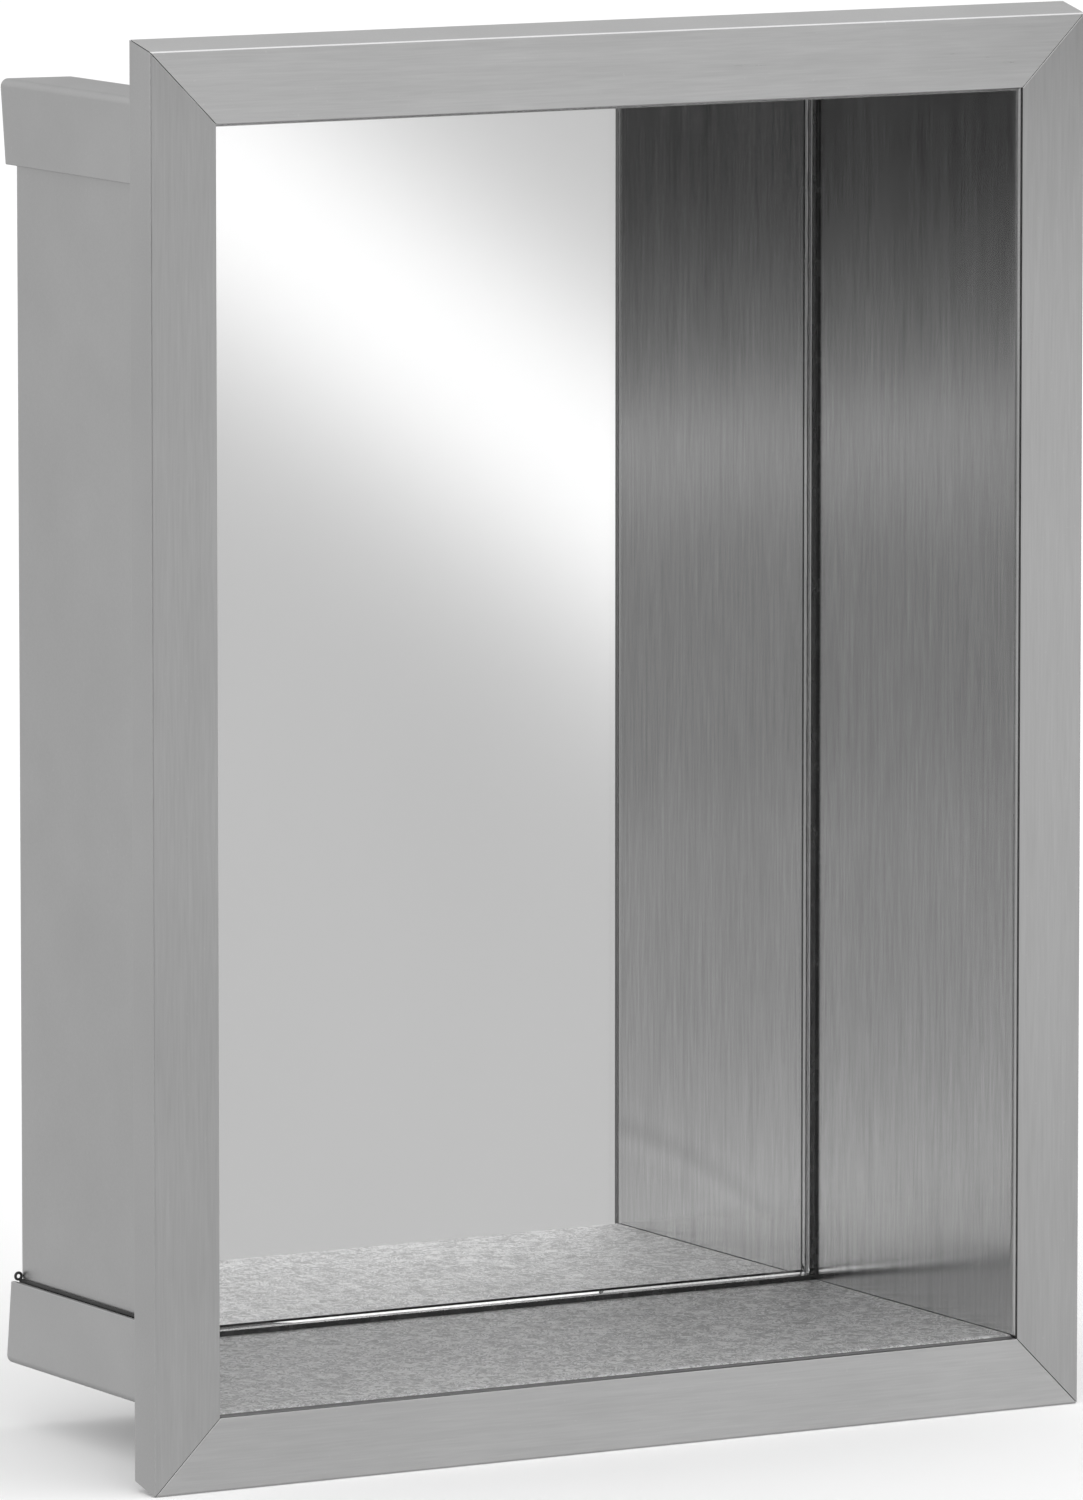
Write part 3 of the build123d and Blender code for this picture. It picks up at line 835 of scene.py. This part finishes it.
@dataclass
class Shell:
    """The box of the niche: two walls, floor, ceiling and back cover."""

    pucker: float = -0.06 * MM
    floor_gap: float = 0.4 * MM

    def build(self) -> None:
        """Make the panels."""
        for panel in (
                WallPanel("right_side_panel", "wall_steel", WALL_BRUSHED, inside=-1, pucker=self.pucker),
                WallPanel("left_side_panel", "wall_steel", WALL_BRUSHED, inside=1),
                FloorPanel("floor_panel", "floor_steel", FLOOR_SANDED, Axis.X, end_gap=self.floor_gap),
                FoldedPiece("ceiling_panel", "wall_steel", WALL_BRUSHED, Axis.X),
                FoldedPiece("back_cover", "plain_sheet", MILL_SHEET, Axis.X)):
            panel.build()


@dataclass
class CornerAngles:
    """The four L sections along the outer edges of the shell."""

    ease: float = 0.25 * MM

    def build(self) -> None:
        """Make the angles and dress the tapes that hold them."""
        for corner in CORNERS:
            FoldedPiece(f"corner_angle_{corner}", "angle_steel", ANGLE_MATT, Axis.Y, self.ease).build()
        for node in ("side_bonding_tapes", "ceiling_bonding_tapes", "floor_bonding_tapes"):
            dress_node(node, GREY_FOAM)


def dress_node(node: str, finish: Finish) -> None:
    """Give a carried-over CAD node a finish."""
    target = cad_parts[node]
    target.data.materials.clear()
    paint(target, finish)
    log.info("%s: CAD shape kept", node)


# Geometry nodes.


class GeometryTool:
    """A geometry node tree with named inputs, run once on a starting mesh and turned into a plain mesh."""

    def __init__(self, name: str, inputs: dict[str, float]) -> None:
        """Make an empty tree."""
        self.tree = bpy.data.node_groups.new(name, "GeometryNodeTree")
        self.tree.interface.new_socket(name="Geometry", in_out="INPUT", socket_type="NodeSocketGeometry")
        self.values: dict[str, float] = {}
        for socket, value in inputs.items():
            made = self.tree.interface.new_socket(name=socket, in_out="INPUT", socket_type="NodeSocketFloat")
            self.values[made.identifier] = value
        self.tree.interface.new_socket(name="Geometry", in_out="OUTPUT", socket_type="NodeSocketGeometry")
        self.desk = NodeDesk(self.tree)
        self.given = self.desk.add("NodeGroupInput")
        self.result = self.desk.add("NodeGroupOutput")

    def add(self, kind: str, **inputs: object) -> Socket:
        """Add a node, feed its inputs, named with underscores for spaces, and return its first output."""
        node = self.desk.add(kind)
        for name, value in inputs.items():
            self.desk.feed(value, node.inputs[name.replace("_", " ")])
        return node.outputs[0]

    def moved(self, geometry: Socket, turn: Sequence[float] = (0.0, 0.0, 0.0), **shift: object) -> Socket:
        """Turn a part, then move it along the axes that are named."""
        move = self.add("ShaderNodeCombineXYZ", **shift)
        return self.add("GeometryNodeTransform", Geometry=geometry, Translation=move, Rotation=turn)

    def joined(self, *parts: Socket) -> Socket:
        """Join parts into one."""
        whole = self.desk.add("GeometryNodeJoinGeometry")
        for part in parts:
            self.desk.feed(part, whole.inputs[0])
        return whole.outputs[0]

    def repeat(self, unit: Socket, finish: Finish, smooth: bool) -> None:
        """End the tree: put the unit on every point, make the copies real, shade and paint them."""
        rows = self.add("GeometryNodeInstanceOnPoints", Points=self.given.outputs["Geometry"], Instance=unit)
        whole = self.add("GeometryNodeRealizeInstances", Geometry=rows)
        shaded = self.add("GeometryNodeSetShadeSmooth", Geometry=whole, Shade_Smooth=smooth)
        painted = self.add("GeometryNodeSetMaterial", Geometry=shaded, Material=finish.material())
        self.desk.feed(painted, self.result.inputs[0])

    def run(self, name: str, start: Mesh) -> Piece:
        """Apply the tree to a mesh and return a piece with the plain result."""
        bench = add_object(f"{name}_bench", start)
        modifier = bench.modifiers.new(name, "NODES")
        modifier.node_group = self.tree
        for identifier, value in self.values.items():
            modifier[identifier] = value
        evaluated = bench.evaluated_get(bpy.context.evaluated_depsgraph_get())
        mesh = bpy.data.meshes.new_from_object(evaluated)
        mesh.name = name
        bpy.data.objects.remove(bench)
        return add_object(name, mesh)


def solid_boxes(node: str) -> list[tuple[Vector, Vector]]:
    """Lowest and highest corners of each separate solid in a CAD node, in a fixed order."""
    work = merged_copy(node)
    left = set(work.verts)
    boxes = []
    while left:
        reached = [left.pop()]
        members = []
        while reached:
            vertex = reached.pop()
            members.append(vertex.co.copy())
            for edge in vertex.link_edges:
                other = edge.other_vert(vertex)
                if other in left:
                    left.remove(other)
                    reached.append(other)
        low = Vector(min(point[axis] for point in members) for axis in range(3))
        high = Vector(max(point[axis] for point in members) for axis in range(3))
        boxes.append((low, high))
    work.free()
    return sorted(boxes, key=lambda box: (round(box[0].x, 5), round(box[0].z, 5)))


def seats(boxes: Iterable[tuple[Vector, Vector]]) -> Mesh:
    """A mesh of loose points at the front middle of each box."""
    points = [((low.x + high.x) / 2, low.y, (low.z + high.z) / 2) for low, high in boxes]
    mesh = bpy.data.meshes.new("seats")
    mesh.from_pydata(points, [], [])
    return mesh


@dataclass
class FixingSet:
    """Equal fixings: one is made in full and repeated on the places of a CAD node's solids.

    Args:
        node: The CAD node.
        piece: Name of the new piece.
        smooth: Whether the surface is shaded smooth.
    """

    node: str
    piece: str
    smooth: bool = False

    def sizes(self, extent: Vector) -> dict[str, float]:
        """Lengths for the tree's inputs, given the extent of one solid."""
        raise NotImplementedError

    def unit(self, tool: GeometryTool) -> Socket:
        """Make one fixing that reaches into the wall from its seat."""
        raise NotImplementedError

    def build(self) -> None:
        """Make one fixing and repeat it on the seats."""
        boxes = solid_boxes(self.node)
        low, high = boxes[0]
        tool = GeometryTool(self.piece, self.sizes(high - low))
        tool.repeat(self.unit(tool), FIXINGS, self.smooth)
        own(tool.run(self.piece, seats(boxes)), self.node)


@dataclass
class Rivets(FixingSet):
    """Dome headed rivets round the back cover.

    Args:
        rings: Rings of the sphere that the dome is cut from.
        shank_drop: Share of its length that the shank moves down, which leaves its end in the head.
    """

    node: str = "back_cover_rivets"
    piece: str = "cover_rivets"
    smooth: bool = True
    head_height: float = 1.3 * MM
    shank_radius: float = 1.6 * MM
    segments: int = 24
    rings: int = 12
    shank_drop: float = 0.4999

    def sizes(self, extent: Vector) -> dict[str, float]:
        """The head takes its radius from the solid."""
        return {"Head Radius": extent.x / 2, "Head Height": self.head_height,
                "Shank Radius": self.shank_radius, "Length": extent.y}

    def unit(self, tool: GeometryTool) -> Socket:
        """Flatten half a sphere into a dome and set it on a shank."""
        given, desk = tool.given.outputs, tool.desk
        ball = tool.add("GeometryNodeMeshUVSphere", Segments=self.segments, Rings=self.rings,
                        Radius=given["Head Radius"])
        squash = tool.add("ShaderNodeCombineXYZ", X=1.0, Y=1.0,
                          Z=desk.math("DIVIDE", given["Head Height"], given["Head Radius"]))
        flat = tool.add("GeometryNodeTransform", Geometry=ball, Scale=squash)
        split = desk.add("ShaderNodeSeparateXYZ")
        desk.feed(tool.add("GeometryNodeInputPosition"), split.inputs[0])
        raised = tool.add("ShaderNodeCombineXYZ", X=split.outputs[0], Y=split.outputs[1],
                          Z=desk.math("MAXIMUM", split.outputs[2], 0.0))
        dome = tool.add("GeometryNodeSetPosition", Geometry=flat, Position=raised)
        grip = desk.math("SUBTRACT", given["Length"], given["Head Height"])
        shank = tool.add("GeometryNodeMeshCylinder", Vertices=self.segments, Radius=given["Shank Radius"],
                         Depth=grip)
        lowered = tool.moved(shank, Z=desk.product(grip, -self.shank_drop))
        return tool.moved(tool.joined(dome, lowered), BACKWARDS, Y=grip)


@dataclass
class Studs(FixingSet):
    """Threaded studs behind the face of the frame.

    Args:
        steps: Sides of the stud, and points in each turn of the thread.
        threaded: Share of the length that has a thread.
        thread_from: Its start, below the middle, as a share of the length.
        ridge: Radius of the thread's ridge, as a share of its depth.
    """

    node: str = "frame_studs"
    piece: str = "face_studs"
    pitch: float = 0.5 * MM
    thread_depth: float = 0.3 * MM
    steps: int = 14
    threaded: float = 0.86
    thread_from: float = 0.39
    ridge: float = 0.45

    def sizes(self, extent: Vector) -> dict[str, float]:
        """The stud takes its radius and length from the solid."""
        return {"Radius": extent.x / 2, "Length": extent.y,
                "Pitch": self.pitch, "Thread Depth": self.thread_depth}

    def unit(self, tool: GeometryTool) -> Socket:
        """Wind a ridge round a core."""
        given, desk = tool.given.outputs, tool.desk
        core = tool.add("GeometryNodeMeshCylinder", Vertices=self.steps, Depth=given["Length"],
                        Radius=desk.math("SUBTRACT", given["Radius"], given["Thread Depth"]))
        rise = desk.product(given["Length"], self.threaded)
        middle = desk.math("SUBTRACT", given["Radius"],
                           desk.product(given["Thread Depth"], 1.0 - self.ridge))
        helix = tool.add("GeometryNodeCurveSpiral", Resolution=self.steps, Start_Radius=middle,
                         End_Radius=middle, Rotations=desk.math("DIVIDE", rise, given["Pitch"]), Height=rise)
        ridge = tool.add("GeometryNodeCurvePrimitiveCircle", Resolution=4,
                         Radius=desk.product(given["Thread Depth"], self.ridge))
        thread = tool.add("GeometryNodeCurveToMesh", Curve=helix, Profile_Curve=ridge,
                          Fill_Caps=True)
        wound = tool.moved(thread, Z=desk.product(given["Length"], -self.thread_from))
        return tool.moved(tool.joined(core, wound), BACKWARDS,
                          Y=desk.product(given["Length"], 0.5))


@dataclass
class Nuts(FixingSet):
    """Hexagon nuts on the studs, with eased edges."""

    node: str = "flange_nuts"
    piece: str = "face_nuts"
    bore_radius: float = 1.55 * MM
    ease: float = 0.25 * MM

    def sizes(self, extent: Vector) -> dict[str, float]:
        """The nut takes its corners and height from the solid."""
        return {"Corner Radius": extent.x / 2, "Bore Radius": self.bore_radius, "Height": extent.y}

    def unit(self, tool: GeometryTool) -> Socket:
        """Sweep the section of the wall round a ring of six flats."""
        given, desk = tool.given.outputs, tool.desk
        corner, bore = given["Corner Radius"], given["Bore Radius"]
        path = tool.add("GeometryNodeCurvePrimitiveCircle", Resolution=6,
                        Radius=desk.product(desk.math("ADD", corner, bore), 0.5))
        wall = tool.add("GeometryNodeCurvePrimitiveQuadrilateral", Width=desk.math("SUBTRACT", corner, bore),
                        Height=given["Height"])
        eased = tool.add("GeometryNodeFilletCurve", Curve=wall, Radius=self.ease)
        ring = tool.add("GeometryNodeCurveToMesh", Curve=path, Profile_Curve=eased)
        return tool.moved(ring, BACKWARDS, Y=desk.product(given["Height"], 0.5))


@dataclass
class MirrorUnit:
    """Glass, silver coat, gasket and pad at the back of the niche.

    Args:
        clearance: Gap that keeps touching sheets from sharing a face.
    """

    clearance: float = 0.03 * MM

    @staticmethod
    def _sheet(node: str, name: str, clearance: float) -> Piece:
        """Copy a flat sheet and draw its rear face forward."""
        work = merged_copy(node)
        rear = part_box(node)[1][Axis.Y.value]
        for vertex in work.verts:
            if vertex.co.y > rear - 0.01 * MM:
                vertex.co.y -= clearance
        return add_object(name, finish_mesh(work, name, Axis.Z, 5.0))

    def build(self) -> None:
        """Make the glass, the silver and the gasket, and dress the pad behind them."""
        pane = self._sheet("mirror_glass", "mirror_pane", self.clearance)
        paint(pane, GLASS, GLASS_EDGE)
        for face in pane.data.polygons:
            face.material_index = 0 if abs(face.normal.y) > 0.1 else 1
        coat = self._sheet("mirror_silver", "silver_coat", 2.0 * self.clearance)
        paint(coat, SILVER)
        strip = add_object("glazing_bead", finish_mesh(merged_copy("mirror_gasket"), "glazing_bead", Axis.Z))
        paint(strip, GLAZING_RUBBER)
        dress_node("mirror_pad", GREY_FOAM)
        own(pane, "mirror_glass")
        own(coat, "mirror_silver")
        own(strip, "mirror_gasket")


@dataclass
class SeamSeals:
    """Rubber beads above the bottom angles, each with its ring."""

    def build(self) -> None:
        """Make both seals."""
        for side in SIDES:
            node = f"{side}_seam_seal"
            piece = add_object(f"{side}_seam_bead", finish_mesh(merged_copy(node), node, Axis.Y, 50.0))
            paint(piece, BLACK_RUBBER)
            own(piece, node)


# Studio.


@dataclass
class Studio:
    """Pale floor, soft light and the camera.

    Args:
        azimuth, elevation, distance, lens: The camera, in degrees, metres and millimetres.
        aim_height, aim_right, aim_up: The point it looks at.
        floor_size: Width of the floor.
        low_light, horizon_light, sky_light: Brightness from below to overhead.
        sky_behind: Share of the sky's extra light that is left behind the object.
        low_ramp, sky_ramp: Rise over which one brightness turns into the next.
        behind_ramp: Depth over which the sky dims towards the back.
        ground: Brightness of the bare background.
        panel_y, panel_edges: Depth of the light panel, and its left, right, lower and upper edges.
    """

    azimuth: float = -29.64
    elevation: float = 7.33
    distance: float = 3.768
    lens: float = 318.7
    aim_height: float = 200.0 * MM
    aim_right: float = 6.4 * MM
    aim_up: float = -7.9 * MM
    floor_size: float = 14.0
    low_light: float = 0.5
    horizon_light: float = 0.6
    sky_light: float = 1.5
    sky_behind: float = 0.1
    low_ramp: tuple[float, float] = (-0.6, 0.0)
    sky_ramp: tuple[float, float] = (0.05, 0.5)
    behind_ramp: tuple[float, float] = (-0.1, 0.5)
    ground: float = 1.02
    panel_y: float = -1.0
    panel_edges: tuple[float, float, float, float] = (-1.3, 1.5, -0.6, 0.5)

    def back(self) -> Vector:
        """Unit vector from the object to the camera."""
        turn, rise = math.radians(self.azimuth), math.radians(self.elevation)
        return Vector((math.sin(turn) * math.cos(rise), -math.cos(turn) * math.cos(rise), math.sin(rise)))

    def place_camera(self, low: Vector, high: Vector) -> None:
        """Aim the camera at the middle of the object, a little off it."""
        back = self.back()
        right = Vector((math.cos(math.radians(self.azimuth)), math.sin(math.radians(self.azimuth)), 0.0))
        up = back.cross(right)
        middle = (low + high) / 2
        aim = Vector((middle.x, middle.y, self.aim_height)) + right * self.aim_right + up * self.aim_up
        data = bpy.data.cameras.new("camera")
        data.sensor_width = 36.0
        data.lens = self.lens
        data.clip_start, data.clip_end = 0.1, 50.0
        data.dof.use_dof = False
        camera = bpy.data.objects.new("camera", data)
        camera.location = aim + back * self.distance
        camera.rotation_mode = "QUATERNION"
        camera.rotation_quaternion = (-back).to_track_quat("-Z", "Y")
        bpy.context.scene.collection.objects.link(camera)
        bpy.context.scene.camera = camera

    @staticmethod
    def sheet(name: str, corners: Sequence[Sequence[float]], finish: Finish) -> Piece:
        """One flat face with a finish."""
        mesh = bpy.data.meshes.new(name)
        mesh.from_pydata(corners, [], [(0, 1, 2, 3)])
        mesh.materials.append(finish.material())
        return add_object(name, mesh)

    def lay_floor(self) -> None:
        """Lay the floor that the object stands on."""
        half = self.floor_size / 2
        floor = self.sheet("floor", [(-half, -half, 0), (half, -half, 0), (half, half, 0), (-half, half, 0)],
                           FLOOR_PAINT)
        floor.visible_glossy = False
        floor.visible_transmission = False
        floor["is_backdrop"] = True

    def hang_panel(self) -> None:
        """Hang the light panel before the object, where only reflections show it."""
        left, right, low, high = self.panel_edges
        places = ((left, low), (left, high), (right, high), (right, low))
        panel = self.sheet("light_panel", [(x, self.panel_y, z) for x, z in places], PANEL_GLOW)
        panel.visible_camera = False
        panel.visible_diffuse = False
        panel.visible_shadow = False
        panel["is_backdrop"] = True

    def light_room(self) -> None:
        """Build the soft surroundings."""
        world = bpy.data.worlds.new("studio")
        world.use_nodes = True
        world.cycles.sampling_method = "NONE"
        world.node_tree.nodes.clear()
        desk = NodeDesk(world.node_tree)
        split = desk.add("ShaderNodeSeparateXYZ")
        desk.feed(desk.add("ShaderNodeTexCoord").outputs["Generated"], split.inputs[0])
        inward, rise = split.outputs["Y"], split.outputs["Z"]
        level = desk.remap(rise, *self.low_ramp, self.low_light, self.horizon_light, smooth=True)
        overhead = desk.remap(rise, *self.sky_ramp, 0.0, self.sky_light - self.horizon_light, smooth=True)
        ahead = desk.remap(inward, *self.behind_ramp, 1.0, self.sky_behind, smooth=True)
        level = desk.math("ADD", level, desk.product(overhead, ahead))
        seen = desk.add("ShaderNodeLightPath").outputs["Is Camera Ray"]
        background = desk.add("ShaderNodeBackground")
        desk.feed(desk.math("MAXIMUM", level, desk.product(seen, self.ground)),
                  background.inputs["Strength"])
        background.inputs["Color"].default_value = (1.0, 1.0, 1.0, 1.0)
        desk.surface(background, "ShaderNodeOutputWorld")
        bpy.context.scene.world = world

    def build(self) -> None:
        """Set up the whole studio."""
        low, high = (Vector(corner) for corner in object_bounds())
        self.place_camera(low, high)
        self.lay_floor()
        self.hang_panel()
        self.light_room()
        bpy.context.scene.view_settings.view_transform = "Standard"


def main() -> None:
    """Set up the studio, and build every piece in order."""
    logging.basicConfig(level=logging.INFO, format="%(name)s %(message)s")
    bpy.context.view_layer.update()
    Studio().build()
    for assembly in (FaceFrame, Shell, MirrorUnit, CornerAngles, SeamSeals, Rivets, Studs, Nuts):
        assembly().build()


if __name__ == "__main__":
    main()
